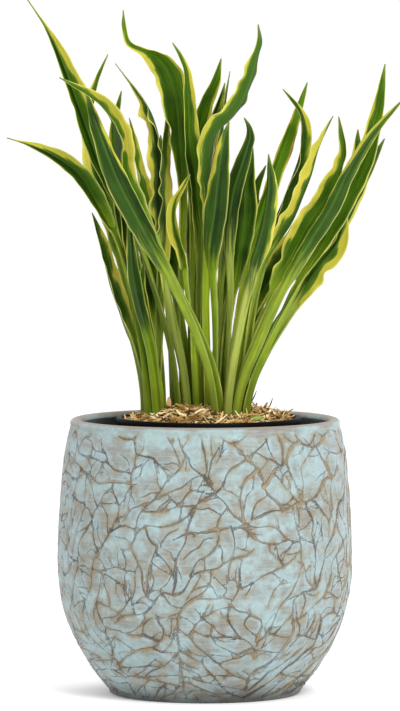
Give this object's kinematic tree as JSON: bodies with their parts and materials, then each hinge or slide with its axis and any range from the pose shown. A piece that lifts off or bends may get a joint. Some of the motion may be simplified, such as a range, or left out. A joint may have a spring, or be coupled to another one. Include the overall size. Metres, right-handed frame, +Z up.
{
  "type": "potted hosta",
  "caption": "Potted hosta: narrow wavy green leaves with yellow edges on channelled stalks, in a black nursery pot of soil and mulch, set in a rounded veined ceramic pot.",
  "frame": {"origin": "centre of the ceramic pot's flat foot, on the surface that it stands on", "axes": "+Z up along the ceramic pot's axis, -Y towards the front of the plant, +X to the right seen from the front"},
  "size_m": [0.3137, 0.2378, 0.5583],
  "materials": {
    "ceramic": "matte blue-grey engobe with ochre veins",
    "plastic": "moulded black, slightly glossy",
    "earth": "dark moist potting soil",
    "fibre": "dry shredded fibre, matte",
    "foliage": "green leaf with yellow edges, satin"
  },
  "bodies": {
    "root": {"ceramic_pot": "ceramic", "nursery_pot": "plastic", "soil": "earth", "mulch": "fibre", "leaf_tall_left": "foliage", "leaf_front_left": "foliage", "leaf_arched_left": "foliage", "leaf_behind_arch": "foliage", "leaf_wavy_left": "foliage", "leaf_curled_top": "foliage", "leaf_small_curl": "foliage", "leaf_center_tall": "foliage", "leaf_center_back": "foliage", "leaf_arching_right": "foliage", "leaf_center_slim": "foliage", "leaf_center_right": "foliage", "leaf_front_center": "foliage", "leaf_low_left": "foliage", "leaf_left_behind": "foliage", "leaf_left_slim": "foliage", "leaf_left_outer": "foliage", "leaf_left_inner": "foliage", "leaf_left_small": "foliage", "leaf_left_upright": "foliage", "leaf_arched_right": "foliage", "leaf_broad_right": "foliage", "leaf_front_right": "foliage", "leaf_upright_right": "foliage", "leaf_twisted_right": "foliage", "leaf_crossing_right": "foliage", "leaf_narrow_right": "foliage", "leaf_right_upper": "foliage", "leaf_right_long": "foliage", "leaf_right_tall": "foliage", "leaf_right_low": "foliage", "leaf_right_behind": "foliage", "leaf_right_back": "foliage", "leaf_back_left": "foliage", "leaf_back_far_left": "foliage", "leaf_back_center_left": "foliage", "leaf_back_center": "foliage", "leaf_back_center_right": "foliage", "leaf_back_right": "foliage", "leaf_back_low_right": "foliage"}
  },
  "joints": []
}
